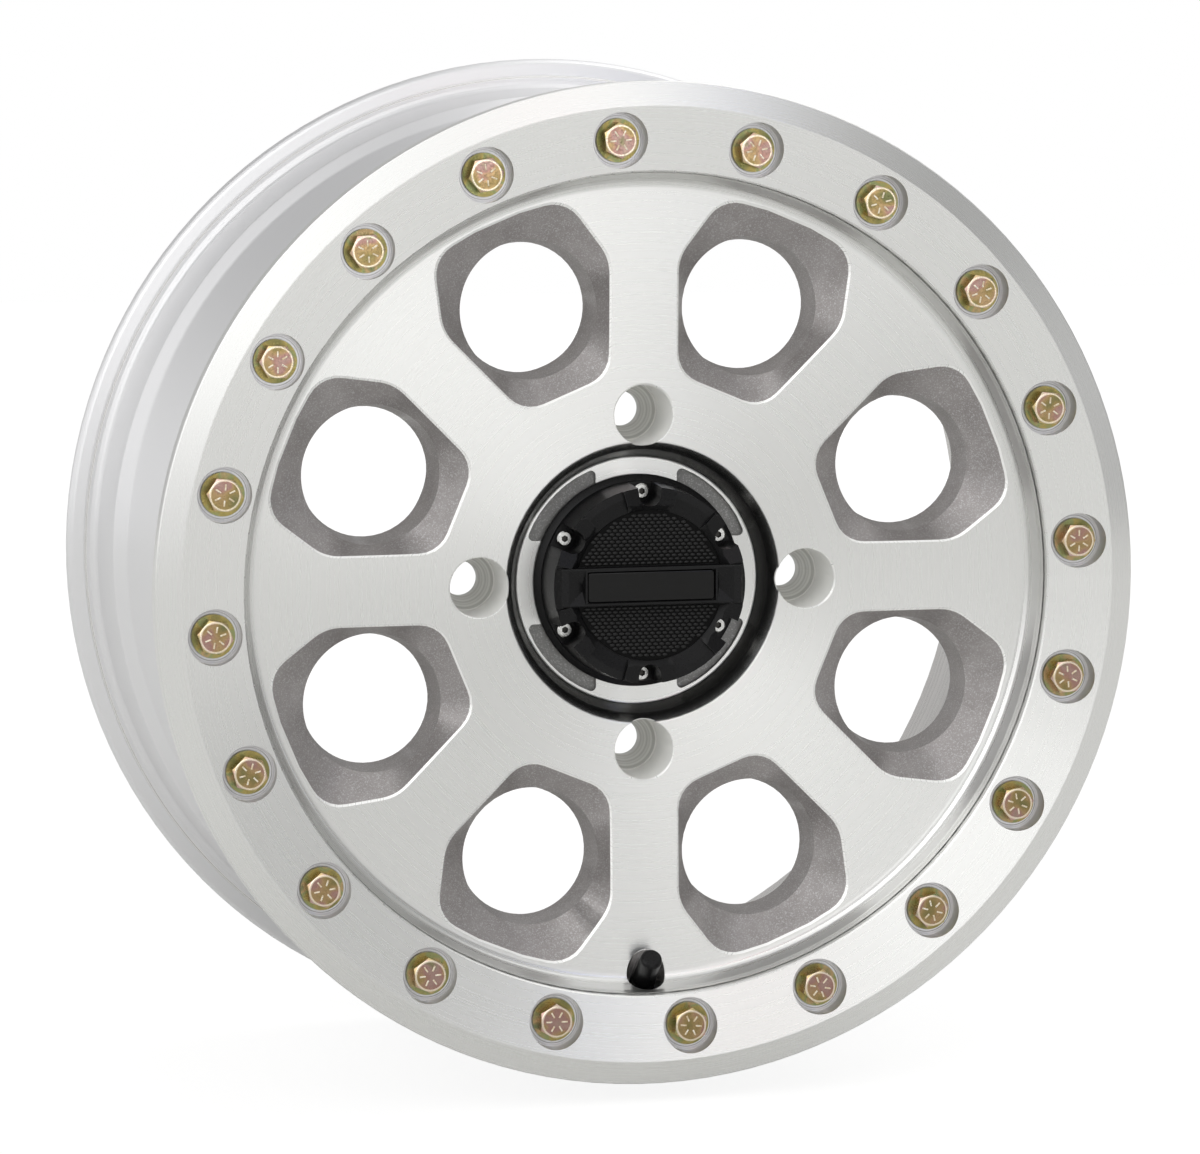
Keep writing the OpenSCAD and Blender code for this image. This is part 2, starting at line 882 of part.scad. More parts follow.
stem_wall = valve_reach - valve_wall;
tube_r = 3.9;
tube_bore_r = 2.6;
tube_front = -9;
tube_back = valve_reach + 3;
core_r = tube_bore_r - 0.05;
core_front = tube_front + 1;
core_length = 9;
core_bore_r = 1.6;
// The shoulder inside the core that carries the spring
core_shoulder = core_front + 7.6;
pin_r = 0.45;
pin_hole_r = pin_r + 0.08;
pin_travel = 1.2;
pin_collar_r = 1.45;
pin_collar_t = 0.5;
seat_depth = core_front + core_length;
pin_seal_t = 1.2;
pin_seal_gap = 0.1;
spring_r = 1.15;
spring_wire_r = 0.2;
spring_turns = 5;
spring_front = core_front + 2;
cap_tip = -13;
valve_cap_r = 4.8;
valve_cap_back = 4;
// Radius of the stem's neck, of its shoulder in the pocket and of its bulb in the rim
stem_neck_r = 5;
stem_shoulder_r = valve_pocket_r - 0.7;
stem_bulb_r = valve_hole_r + 2.85;
stem_taper = 0.3 * valve_reach;
stem_bulb_h = 6;
stem_squeeze = 0.02;

// Moulded rubber body, gripping the wall between its bulb and its shoulder
module valve_stem() {
    stem_front = valve_cap_back + 1;
    bulb_front = valve_reach + 0.2;
    color("#161616")
        placed()
            along_valve()
                turned([
                    [tube_r, stem_front, 0],
                    [stem_neck_r, stem_front, 0.8],
                    [stem_neck_r + 0.6, stem_wall - stem_taper, 2],
                    [stem_shoulder_r, stem_wall - 3, 1],
                    [stem_shoulder_r, stem_wall, 0.4],
                    [valve_hole_r - stem_squeeze, stem_wall, 0],
                    [valve_hole_r - stem_squeeze, bulb_front, 0],
                    [stem_bulb_r, bulb_front, 0.4],
                    [stem_bulb_r, bulb_front + 1.4, 0.8],
                    [valve_hole_r + 0.5, valve_reach + stem_bulb_h, 1.5],
                    [tube_r, valve_reach + stem_bulb_h, 0]
                ], 4);
}

module valve_tube() {
    color(brass)
        placed()
            along_valve()
                rotate_extrude()
                    polygon([
                        [tube_bore_r, tube_front],
                        [tube_r - 0.4, tube_front],
                        [tube_r, tube_front + 0.4],
                        [tube_r, tube_back],
                        [1.4, tube_back],
                        [1.4, tube_back - 1.5],
                        [tube_bore_r, tube_back - 1.5]
                    ]);
}

// Screwed core whose barrel guides the pin and carries the seat of its seal
module valve_core() {
    color(brass)
        placed()
            along_valve()
                rotate_extrude()
                    polygon([
                        [core_bore_r, core_front],
                        [core_r - 0.3, core_front],
                        [core_r, core_front + 0.3],
                        [core_r, core_front + 4],
                        [2.05, core_front + 4],
                        [2.05, core_front + 6],
                        [core_r - 0.2, core_front + 6],
                        [core_r - 0.5, seat_depth],
                        [pin_hole_r, seat_depth],
                        [pin_hole_r, core_shoulder],
                        [core_bore_r, core_shoulder]
                    ]);
}

module valve_core_gasket() {
    color("white")
        placed()
            along_valve()
                translate([0, 0, core_front + 4])
                    difference() {
                        cylinder(h = 2, r = core_r);
                        translate([0, 0, -cut])
                            cylinder(h = 2 + 2 * cut, r = 2.05);
                    }
}

// The pin, pressed inwards to open the valve; its collar meets the spring at full travel
module valve_pin() {
    pin_front = tube_front + 0.3;
    plate_front = seat_depth + pin_seal_gap + pin_seal_t;
    color(brass)
        placed()
            along_valve() {
                translate([0, 0, pin_front])
                    cylinder(h = plate_front + 1 - pin_front, r = pin_r);
                translate([0, 0, spring_front - pin_travel - pin_collar_t - 0.1])
                    cylinder(h = pin_collar_t, r = pin_collar_r);
                translate([0, 0, plate_front])
                    cylinder(h = 0.8, r = 1.7);
            }
}

module valve_pin_seal() {
    color("#202020")
        placed()
            along_valve()
                translate([0, 0, seat_depth + pin_seal_gap])
                    difference() {
                        cylinder(h = pin_seal_t, r = 1.9);
                        translate([0, 0, -cut])
                            cylinder(h = pin_seal_t + 2 * cut, r = pin_r);
                    }
}

// Helical spring round the pin, swept as one coil of wire
module valve_spring() {
    sides = 6;
    per_turn = 14;
    rings = spring_turns * per_turn;
    first = spring_front + spring_wire_r;
    length = core_shoulder - 0.02 - spring_wire_r - first;
    points = [for (i = [0:rings])
        let (turn = 360 * i / per_turn)
        for (k = [0:sides - 1])
            let (
                side = 360 * k / sides,
                r = spring_r + spring_wire_r * cos(side)
            )
            [r * cos(turn), r * sin(turn), first + length * i / rings + spring_wire_r * sin(side)]];
    color("silver")
        placed()
            along_valve()
                polyhedron(
                    points = points,
                    faces = concat(
                        [[for (k = [0:sides - 1]) k]],
                        [for (i = [0:rings - 1], k = [0:sides - 1])
                            let (a = i * sides + k, b = i * sides + (k + 1) % sides)
                            each [[a, a + sides, b], [b, a + sides, b + sides]]],
                        [[for (k = [sides - 1:-1:0]) rings * sides + k]]
                    )
                );
}

module valve_cap() {
    color("#121212")
        placed()
            along_valve()
                turned([
                    [0, cap_tip, 0],
                    [valve_cap_r - 0.3, cap_tip, 1.6],
                    [valve_cap_r, valve_cap_back, 0.4],
                    [tube_r + thread_clearance, valve_cap_back, 0],
                    [tube_r + thread_clearance, tube_front - 1, 0],
                    [0, tube_front - 1, 0]
                ], 4);
}

module valve_cap_seal() {
    color("#303030")
        placed()
            along_valve()
                translate([0, 0, tube_front - 1])
                    difference() {
                        cylinder(h = 1, r = tube_r);
                        translate([0, 0, -cut])
                            cylinder(h = 1 + 2 * cut, r = 1.5);
                    }
}

wheel_casting();
beadlock_ring();
ring_bolts();
ring_washers();
cap_base();
cap_cover();
cap_badge();
cap_insert_upper();
cap_insert_lower();
cap_screws();
cap_clip_ring();
valve_stem();
valve_tube();
valve_core();
valve_core_gasket();
valve_pin();
valve_pin_seal();
valve_spring();
valve_cap();
valve_cap_seal();
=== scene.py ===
# %% [markdown]
# # A beadlock wheel
# This lesson dresses a cast aluminium off-road wheel. Its shapes come from a CAD model,
# so most of the work here is finish: how a lathe, a paint gun and a plating bath leave metal looking.
# The wheel's axle is the Y axis, and its machined face looks towards -Y.

# %% Load the wheel
import math

import bmesh
import bpy
import numpy as np
from mathutils import Matrix, Vector


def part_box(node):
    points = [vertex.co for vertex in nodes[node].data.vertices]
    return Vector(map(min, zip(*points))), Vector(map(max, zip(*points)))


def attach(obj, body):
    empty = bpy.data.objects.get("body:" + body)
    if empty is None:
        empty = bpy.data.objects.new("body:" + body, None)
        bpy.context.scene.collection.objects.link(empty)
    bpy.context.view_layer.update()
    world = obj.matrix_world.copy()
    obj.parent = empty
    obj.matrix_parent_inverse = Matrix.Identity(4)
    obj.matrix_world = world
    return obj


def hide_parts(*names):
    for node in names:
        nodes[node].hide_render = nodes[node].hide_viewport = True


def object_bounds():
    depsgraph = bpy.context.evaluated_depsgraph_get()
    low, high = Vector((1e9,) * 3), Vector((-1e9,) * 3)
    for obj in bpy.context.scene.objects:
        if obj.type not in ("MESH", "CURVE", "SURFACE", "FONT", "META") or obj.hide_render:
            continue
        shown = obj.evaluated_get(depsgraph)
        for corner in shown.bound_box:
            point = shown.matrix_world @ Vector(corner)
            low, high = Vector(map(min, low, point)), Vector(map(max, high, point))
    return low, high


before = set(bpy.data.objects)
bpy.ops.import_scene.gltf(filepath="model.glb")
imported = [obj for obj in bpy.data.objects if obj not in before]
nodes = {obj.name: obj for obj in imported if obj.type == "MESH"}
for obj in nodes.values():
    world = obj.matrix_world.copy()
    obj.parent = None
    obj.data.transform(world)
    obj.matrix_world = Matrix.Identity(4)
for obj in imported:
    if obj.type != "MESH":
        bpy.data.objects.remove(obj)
cad_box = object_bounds()
print("CAD box in mm:", [[round(v * 1000, 1) for v in corner] for corner in cad_box])

# %% [markdown]
# ## Measures of the wheel
# Radii are measured from the axle, and depths from the plane of the ring's bolts towards the back.
# They say where one finish ends and the next begins.

# %% The wheel's own measures, in metres
MM = 0.001
BOLT_PLANE = -98.55 * MM
FACE_DEPTH_AT_RIM = 16.0 * MM
FACE_DEPTH_AT_HUB = 18.6 * MM
FACE_RIM_RADIUS = 167.2 * MM
HUB_WALL_RADIUS = 51.0 * MM
BOLT_CIRCLE = 180.5 * MM
BOLT_COUNT = 20
BOLT_PHASE = -4.6
LUG_CIRCLE = 68.5 * MM
LUG_COUNT = 4
SCREW_CIRCLE = 37.3 * MM
SCREW_COUNT = 6
SCREW_TOP = BOLT_PLANE + 21.5 * MM
FACE_SLOPE = (FACE_DEPTH_AT_HUB - FACE_DEPTH_AT_RIM) / (FACE_RIM_RADIUS - HUB_WALL_RADIUS)
print("slope of the face:", round(math.degrees(math.atan(FACE_SLOPE)), 2), "degrees")


# %% [markdown]
# ## Helpers for materials
# Colours are written as sRGB hex, the way a colour picker shows them, but shaders work in linear light.
# One function adds a node: it takes the node's settings, and either values or other nodes' outputs
# for its sockets.

# %% Colour, node and material helpers
def linear(hex_colour):
    channels = [int(hex_colour[i:i + 2], 16) / 255 for i in (1, 3, 5)]
    return [c / 12.92 if c <= 0.04045 else ((c + 0.055) / 1.055) ** 2.4 for c in channels] + [1.0]


def node(tree, kind, inputs=None, **settings):
    made = tree.nodes.new("ShaderNode" + kind)
    for name, value in settings.items():
        setattr(made, name, value)
    for name, value in (inputs or {}).items():
        if isinstance(value, bpy.types.NodeSocket):
            tree.links.new(value, made.inputs[name])
        else:
            made.inputs[name].default_value = value
    return made.outputs


def new_material(name, **surface):
    """An empty material with one Principled shader, whose constants are set by name."""
    material = bpy.data.materials.new(name)
    material.use_nodes = True
    shader = material.node_tree.nodes["Principled BSDF"]
    for socket, value in surface.items():
        shader.inputs[socket.replace("_", " ")].default_value = value
    return material, material.node_tree, shader.inputs


def dress(name, material):
    """Gives a CAD node one material in place of its own."""
    mesh = nodes[name].data
    mesh.materials.clear()
    mesh.materials.append(material)
    print(name, "is now", material.name)


# %% [markdown]
# ## Camera
# The photograph was taken with a long lens from about two metres, 14 degrees to the left of the axle
# and a little above it. A long lens keeps the ring nearly round.

# %% Camera
camera_data = bpy.data.cameras.new("camera")
camera_data.sensor_width = 36.0
camera_data.lens = 147.39
camera_data.clip_start = 0.05
camera = bpy.data.objects.new("camera", camera_data)
camera.location = (-0.50198, -2.00374, 0.22149)
camera.rotation_euler = (1.461057, 0.001806, -0.246484)
scene = bpy.context.scene
scene.collection.objects.link(camera)
scene.camera = camera
print("camera:", round(camera.location.length, 2), "m from the wheel's centre")

# %% [markdown]
# ## Studio
# Bare metal looks like what surrounds it, so the studio is half of the finish. Every lamp here is a
# soft round glow painted on the world: brightest in one direction, and fading as a power of the cosine
# of the angle from it. The higher the power, the smaller the lamp. The first nine were found by lighting
# the wheel with many glows one by one, and mixing them to match the photograph.

# %% World: soft lamps seen by reflections, plain white behind the wheel
# Each row is the way to the lamp, the power that sets its size, its strength and its colour.
# The last four were set one by one: a weak one behind the wheel, and three small ones that draw a faint
# bright streak, with faint colours beside it, on the turned metal above and below the hub
WHITE = "#FFFFFF"
GLOWS = [
    ((0.25, -0.96, -0.11), 60, 2.44, WHITE),
    ((0.05, -1.00, 0.01), 56, 1.70, WHITE),
    ((0.19, -0.72, 0.66), 20, 0.95, WHITE),
    ((0.86, -0.49, 0.15), 20, 0.53, WHITE),
    ((-0.82, -0.57, -0.04), 14, 0.70, WHITE),
    ((-0.69, -0.59, 0.43), 14, 1.80, WHITE),
    ((-0.34, -0.54, 0.77), 14, 1.60, WHITE),
    ((0.48, 0.12, 0.87), 10, 2.12, WHITE),
    ((-0.94, 0.34, 0.06), 7, 0.95, WHITE),
    ((0.10, 0.95, 0.30), 4, 0.40, WHITE),
    ((0.225, -0.88, 0.42), 1000, 5.0, WHITE),
    ((0.33, -0.845, 0.42), 1400, 5.0, "#B4C0FF"),
    ((0.12, -0.90, 0.42), 1400, 4.0, "#FFC8D0"),
]
EVEN_LIGHT = 0.184

scene.view_settings.view_transform = "Standard"
world = bpy.data.worlds.new("studio")
scene.world = world
world.use_nodes = True
tree = world.node_tree
tree.nodes.clear()
direction = node(tree, "TexCoord")["Generated"]
total = Vector((EVEN_LIGHT, EVEN_LIGHT, EVEN_LIGHT))
for way, power, strength, tint in GLOWS:
    to_lamp = Vector(way).normalized()
    facing = node(tree, "VectorMath", {0: direction, 1: to_lamp}, operation="DOT_PRODUCT")["Value"]
    in_front = node(tree, "Math", {0: facing, 1: 0.0}, operation="MAXIMUM")[0]
    spot = node(tree, "Math", {0: in_front, 1: power}, operation="POWER")[0]
    colour = Vector(linear(tint)[:3]) * strength
    total = node(tree, "VectorMath", {0: spot, 1: colour, 2: total}, operation="MULTIPLY_ADD")["Vector"]
lamps = node(tree, "Background", {"Color": total, "Strength": 1.0})
backdrop = node(tree, "Background", {"Color": linear(WHITE), "Strength": 1.0})
seen = node(tree, "LightPath")["Is Camera Ray"]
mixed = node(tree, "MixShader", {0: seen, 1: lamps[0], 2: backdrop[0]})
node(tree, "OutputWorld", {"Surface": mixed[0]})
print("lamps painted on the world:", len(GLOWS))

# %% [markdown]
# ## Floor
# The floor is plain and pale. The camera sees it nearly white, as paper under studio light,
# and it still takes the wheel's shadow.

# %% Floor
FLOOR_REACH = 6.0
PAPER_GLOW = 1.16
GLOW_SHARE = 0.75

floor_mesh = bmesh.new()
bmesh.ops.create_grid(floor_mesh, x_segments=1, y_segments=1, size=FLOOR_REACH)
floor_data = bpy.data.meshes.new("studio_floor")
bmesh.ops.translate(floor_mesh, verts=floor_mesh.verts, vec=(0, 0, cad_box[0].z))
floor_mesh.to_mesh(floor_data)
floor_mesh.free()
floor = bpy.data.objects.new("studio_floor", floor_data)
scene.collection.objects.link(floor)
# To the eye: blank paper that glows to the camera, and is matt where it takes the shadow
paper, tree, _ = new_material("studio paper", Base_Color=linear("#E6E6E4"), Roughness=0.9)
glow = node(tree, "Emission", {"Color": linear(WHITE), "Strength": PAPER_GLOW})
seen = node(tree, "LightPath")["Is Camera Ray"]
share = node(tree, "Math", {0: seen, 1: GLOW_SHARE}, operation="MULTIPLY")
matte = tree.nodes["Principled BSDF"].outputs[0]
mixed = node(tree, "MixShader", {0: share[0], 1: matte, 2: glow[0]})
tree.links.new(mixed[0], tree.nodes["Material Output"].inputs["Surface"])
floor_data.materials.append(paper)
print("floor at", round(cad_box[0].z / MM, 1), "mm")


# %% [markdown]
# ## Turned aluminium
# A lathe leaves fine rings round the axle. They show as a highlight that spreads across the rings,
# which is anisotropy, and as faint bands of lighter and duller metal. The anisotropy's tangent is the
# direction round the axle, worked out from the position: the cross product of the axle and the point.

# %% A helper for the lathe's pattern
def lathe_marks(tree):
    """The point, its radius and depth, the way round the axle, and the way along the cut."""
    point = node(tree, "TexCoord")["Object"]
    flat = node(tree, "VectorMath", {0: point, 1: (1.0, 0.0, 1.0)}, operation="MULTIPLY")
    radius = node(tree, "VectorMath", {0: flat["Vector"]}, operation="LENGTH")["Value"]
    around = node(tree, "VectorMath", {0: (0.0, 1.0, 0.0), 1: point}, operation="CROSS_PRODUCT")
    tangent = node(tree, "VectorMath", {0: around["Vector"]}, operation="NORMALIZE")["Vector"]
    depth = node(tree, "SeparateXYZ", {0: point})["Y"]
    along = node(tree, "Math", {0: radius, 1: depth}, operation="ADD")[0]
    return point, radius, tangent, depth, along


# %% [markdown]
# Holes, bolts and screws stand in circles round the axle. Their own turned faces have rings round their
# own axes, so a finish needs to know how far a point is from the nearest one. Folding the bearing into
# one sector gives that for any count with the same few nodes.

# %% A helper for features that stand on a circle
def from_nearest(tree, point, circle, count, phase):
    """How far the point is from the nearest of the axes on a circle, and that axis's number."""
    parts = node(tree, "SeparateXYZ", {0: point})
    flat = node(tree, "CombineXYZ", {"X": parts["X"], "Y": parts["Z"]})[0]
    radius = node(tree, "VectorMath", {0: flat}, operation="LENGTH")["Value"]
    bearing = node(tree, "Math", {0: parts["X"], 1: parts["Z"]}, operation="ARCTAN2")[0]
    sector = 2 * math.pi / count
    turned = node(tree, "Math", {0: bearing, 1: math.radians(phase)}, operation="SUBTRACT")[0]
    folded = node(tree, "Math", {0: turned, 1: sector / 2, 2: -sector / 2}, operation="WRAP")[0]
    sectors = node(tree, "Math", {0: turned, 1: sector}, operation="DIVIDE")[0]
    number = node(tree, "Math", {0: sectors}, operation="ROUND")[0]
    sine = node(tree, "Math", {0: folded}, operation="SINE")[0]
    cosine = node(tree, "Math", {0: folded}, operation="COSINE")[0]
    across = node(tree, "Math", {0: radius, 1: sine}, operation="MULTIPLY")[0]
    outwards = node(tree, "Math", {0: radius, 1: cosine, 2: -circle}, operation="MULTIPLY_ADD")[0]
    apart = node(tree, "CombineXYZ", {"X": across, "Y": outwards})[0]
    return node(tree, "VectorMath", {0: apart}, operation="LENGTH")["Value"], number


# %% [markdown]
# A finish covers a zone: a stretch of radius, of depth, or of distance from a bolt. Each edge of a zone
# is a pair of values, where the finish starts and where it is full. The zone's mask is the product of
# the ramps between them.

# %% A helper for zones
def zone(tree, *edges):
    """A mask that is 1 where every value is past its edge, and 0 where any is still before it."""
    mask = 1.0
    for value, (start, full) in edges:
        ramp = node(tree, "MapRange", {0: value, 1: start, 2: full})["Result"]
        mask = node(tree, "Math", {0: mask, 1: ramp}, operation="MULTIPLY")[0]
    return mask


# %% [markdown]
# ## The clamp ring
# The ring is turned all over. The counterbores for its bolts are milled afterwards, so their rings run
# round each bolt.

# %% Clamp ring
# The lathe's real rings are finer than a pixel, and are drawn this coarse so that they show
LATHE_RING = 0.5 * MM
MILLED_RING = 0.6 * MM
MILLED = (11.6 * MM, 11.5 * MM)
MILLED_FLOOR = (11.2 * MM, 11.1 * MM)
BEHIND_CROWN = (BOLT_PLANE - 0.6 * MM, BOLT_PLANE - 0.5 * MM)

# To the eye: bright metal whose highlight fans out across fine rings, with duller floors round the bolts
ring_metal, tree, shader = new_material(
    "turned wrought aluminium", Anisotropic=0.8, Anisotropic_Rotation=0.25)
point, _, tangent, depth, along = lathe_marks(tree)
tree.links.new(tangent, shader["Tangent"])
turned_rings = node(tree, "TexNoise", {"W": along, "Scale": 1 / LATHE_RING, "Detail": 1.0},
                    noise_dimensions="1D")["Fac"]
from_bolt, _ = from_nearest(tree, point, BOLT_CIRCLE, BOLT_COUNT, BOLT_PHASE)
milled_rings = node(tree, "TexNoise", {"W": from_bolt, "Scale": 1 / MILLED_RING, "Detail": 0.0},
                    noise_dimensions="1D")["Fac"]
milled = zone(tree, (from_bolt, MILLED))
relief = node(tree, "Mix", {0: milled, "A": turned_rings, "B": milled_rings})["Result"]
rough = node(tree, "MapRange", {0: relief, 1: 0.25, 2: 0.75, 3: 0.27, 4: 0.29})["Result"]
tree.links.new(rough, shader["Roughness"])
bump = node(tree, "Bump", {"Height": relief, "Strength": 0.003, "Distance": 0.0002})
tree.links.new(bump[0], shader["Normal"])

milled_floor = zone(tree, (from_bolt, MILLED_FLOOR), (depth, BEHIND_CROWN))
share = node(tree, "MapRange", {0: milled_rings, 1: 0.3, 2: 0.7})["Result"]
floor_tone = node(tree, "Mix", {0: share, "A": linear("#C6C5C8"), "B": linear("#EAEAEC")},
                  data_type="RGBA")["Result"]
colour = node(tree, "Mix", {0: milled_floor, "A": linear("#EAEAE8"), "B": floor_tone}, data_type="RGBA")
tree.links.new(colour["Result"], shader["Base Color"])
# Milled floors scatter more light than turned metal, so they count as half metal
metal = node(tree, "MapRange", {0: milled_floor, 3: 1.0, 4: 0.5})["Result"]
tree.links.new(metal, shader["Metallic"])
dress("beadlock_ring", ring_metal)

# %% [markdown]
# ## The casting
# One casting carries several finishes. The lathe cuts the face bright. Inside the windows and the hub's
# pockets, the silver-grey paint that went on before the lathe is still there. The mill breaks the edges
# of the windows and wells, and a white, less metallic tone there is a painted highlight. The lug wells
# and the groove round the hub are turned with other tools; the wells' pale, nearly matt tone is painted
# light, and the groove's darker tone is painted shade. The barrel is turned and clear coated, which
# leaves it paler and softer than the bare face. Its inside is as it was cast, and its paler tone there
# is painted light.
# The finishes meet at sharp edges, so radius and depth below the face say which is which.

# %% Casting: where each finish is
PAST_LUGS = (81.5 * MM, 81.6 * MM)
BEFORE_RIM = (166.6 * MM, 166.5 * MM)
BELOW_CHAMFER = (0.66 * MM, 0.72 * MM)
ON_CHAMFER = (0.72 * MM, 0.66 * MM)
BELOW_EDGE = (0.04 * MM, 0.1 * MM)
IN_HUB = (51.1 * MM, 51.0 * MM)
HUB_POCKET_DEPTH = (BOLT_PLANE + 30.9 * MM, BOLT_PLANE + 31.0 * MM)
PAST_HUB_WALL = (50.95 * MM, 51.0 * MM)
BEFORE_GROOVE_EDGE = (57.8 * MM, 57.7 * MM)
PAST_GROOVE_EDGE = (57.7 * MM, 57.8 * MM)
GROOVE_DEPTH = (0.3 * MM, 3.0 * MM)
NEAR_LUG = (12.7 * MM, 12.6 * MM)
LOOKS_INWARDS = (5.0 * MM, 9.0 * MM)
LOOKS_OUTWARDS = (-5.0 * MM, -9.0 * MM)
BEHIND_FACE = (BOLT_PLANE + 28.0 * MM, BOLT_PLANE + 28.5 * MM)
IN_BARREL_WALL = (150.0 * MM, 151.0 * MM)
PAST_FACE = (168.0 * MM, 169.0 * MM)

casting, tree, shader = new_material("cast wheel aluminium", Anisotropic=0.8, Anisotropic_Rotation=0.25)
point, radius, tangent, depth, along = lathe_marks(tree)
tree.links.new(tangent, shader["Tangent"])
from_rim = node(tree, "Math", {0: FACE_RIM_RADIUS, 1: radius}, operation="SUBTRACT")[0]
face = node(tree, "Math", {0: from_rim, 1: FACE_SLOPE, 2: BOLT_PLANE + FACE_DEPTH_AT_RIM},
            operation="MULTIPLY_ADD")[0]
below_face = node(tree, "Math", {0: depth, 1: face}, operation="SUBTRACT")[0]
from_lug, _ = from_nearest(tree, point, LUG_CIRCLE, LUG_COUNT, 0.0)
normal = node(tree, "TexCoord")["Normal"]
to_axle = node(tree, "VectorMath", {0: point, 1: (-1.0, 0.0, -1.0)}, operation="MULTIPLY")["Vector"]
inwards = node(tree, "VectorMath", {0: normal, 1: to_axle}, operation="DOT_PRODUCT")["Value"]

window_paint = zone(tree, (radius, PAST_LUGS), (radius, BEFORE_RIM), (below_face, BELOW_CHAMFER))
in_hub = zone(tree, (radius, IN_HUB))
hub_paint = zone(tree, (radius, IN_HUB), (depth, HUB_POCKET_DEPTH))
painted = node(tree, "Math", {0: window_paint, 1: hub_paint}, operation="MAXIMUM")[0]
# Along the milled edges, white and less metallic metal is a painted highlight
edge_highlight = zone(tree, (radius, PAST_GROOVE_EDGE), (radius, BEFORE_RIM),
                 (below_face, BELOW_EDGE), (below_face, ON_CHAMFER))
# In the lug wells, a pale and nearly matt tone is painted light
in_well = zone(tree, (from_lug, NEAR_LUG), (below_face, BELOW_CHAMFER))
# In the groove, a darker tone is painted shade
in_groove = zone(tree, (radius, PAST_HUB_WALL), (radius, BEFORE_GROOVE_EDGE), (below_face, GROOVE_DEPTH))
# Inside the barrel, a pale and less metallic tone is painted light
in_barrel = zone(tree, (inwards, LOOKS_INWARDS), (depth, BEHIND_FACE), (radius, IN_BARREL_WALL))
coated = zone(tree, (inwards, LOOKS_OUTWARDS), (radius, PAST_FACE))
print("finishes on the casting: turned, painted, burnished, well, groove, cast and coated")

# %% [markdown]
# The paint is grey with metal flakes in it. About one flake in eight lies flat enough to sparkle.

# %% Casting: colours
# Real flakes are far finer than a pixel, and are drawn this coarse so that they show
FLAKE = 0.35 * MM
PAINT_CLOUD = 9.0 * MM
WELL_RING = 0.9 * MM
SPARKLING = (0.8, 0.95)

flakes = node(tree, "TexVoronoi", {"Vector": point, "Scale": 1 / FLAKE}, feature="F1")
flake = node(tree, "SeparateColor", {0: flakes["Color"]})["Red"]
sparkle = zone(tree, (flake, SPARKLING))
cloud = node(tree, "TexNoise", {"Vector": point, "Scale": 1 / PAINT_CLOUD, "Detail": 1.0})["Fac"]
speckle = node(tree, "Math", {0: flake, 1: 0.5, 2: cloud}, operation="MULTIPLY_ADD")[0]
share = node(tree, "MapRange", {0: speckle, 1: 0.3, 2: 1.2})["Result"]
paint_tone = node(tree, "Mix", {0: share, "A": linear("#979391"), "B": linear("#ABA7A6")},
                  data_type="RGBA")["Result"]
for mask, tone in ((in_hub, "#939391"), (sparkle, "#BDBBBC")):
    paint_tone = node(tree, "Mix", {0: mask, "A": paint_tone, "B": linear(tone)}, data_type="RGBA")["Result"]

well_rings = node(tree, "TexNoise", {"W": from_lug, "Scale": 1 / WELL_RING, "Detail": 0.0},
                  noise_dimensions="1D")["Fac"]
share = node(tree, "MapRange", {0: well_rings, 1: 0.35, 2: 0.65})["Result"]
# The wells' pale tones are painted light, banded by the rings of their turning
well_rings_and_painted_light = node(tree, "Mix", {0: share, "A": linear("#D2D2CE"), "B": linear("#F6F6F3")},
                 data_type="RGBA")["Result"]

# To the eye: bright turned metal, darker in the groove as painted shade, white along broken edges as a
# painted highlight, pale in the wells and inside the barrel as painted light, satin on the barrel and
# grey where it is painted
colour = linear("#E4E4E2")
finishes = (
    (in_groove, linear("#A6A6A4")),
    (in_well, well_rings_and_painted_light),
    (edge_highlight, linear("#FAFAF8")),
    (coated, linear("#E8E8E9")),
    (in_barrel, linear("#F1EFED")),
    (painted, paint_tone),
)
for mask, tone in finishes:
    colour = node(tree, "Mix", {0: mask, "A": colour, "B": tone}, data_type="RGBA")["Result"]
tree.links.new(colour, shader["Base Color"])
print("tones mixed over the turned face:", len(finishes))

# %% [markdown]
# Broken edges, wells and the barrel's inside are made less metallic as part of their painted light, and
# paint is flakes in a clear binder, so none of them is all metal.

# %% Casting: gloss, metal and grain
turned_rings = node(tree, "TexNoise", {"W": along, "Scale": 1 / LATHE_RING, "Detail": 1.0},
                    noise_dimensions="1D")["Fac"]
rough = node(tree, "MapRange", {0: turned_rings, 1: 0.25, 2: 0.75, 3: 0.27, 4: 0.29})["Result"]
paint_rough = node(tree, "MapRange", {0: sparkle, 3: 0.46, 4: 0.36})["Result"]
for mask, value in ((in_groove, 0.2), (in_well, 0.4), (coated, 0.33), (painted, paint_rough)):
    rough = node(tree, "Mix", {0: mask, "A": rough, "B": value})["Result"]
tree.links.new(rough, shader["Roughness"])

scatter = 0.0
for mask, share in ((in_well, 1.4), (edge_highlight, 1.0), (in_barrel, 1.0), (coated, 0.5), (painted, 0.75)):
    scatter = node(tree, "Math", {0: mask, 1: share, 2: scatter}, operation="MULTIPLY_ADD")[0]
metal = node(tree, "MapRange", {0: scatter, 1: 0.0, 2: 1.5, 3: 1.0, 4: 0.1})["Result"]
tree.links.new(metal, shader["Metallic"])
ring_bump = node(tree, "Bump", {"Height": turned_rings, "Strength": 0.003, "Distance": 0.0002})
grain = node(tree, "Bump", {"Height": flake, "Strength": painted, "Distance": 0.00004,
                            "Normal": ring_bump[0]})
tree.links.new(grain[0], shader["Normal"])
print("casting material:", casting.name)

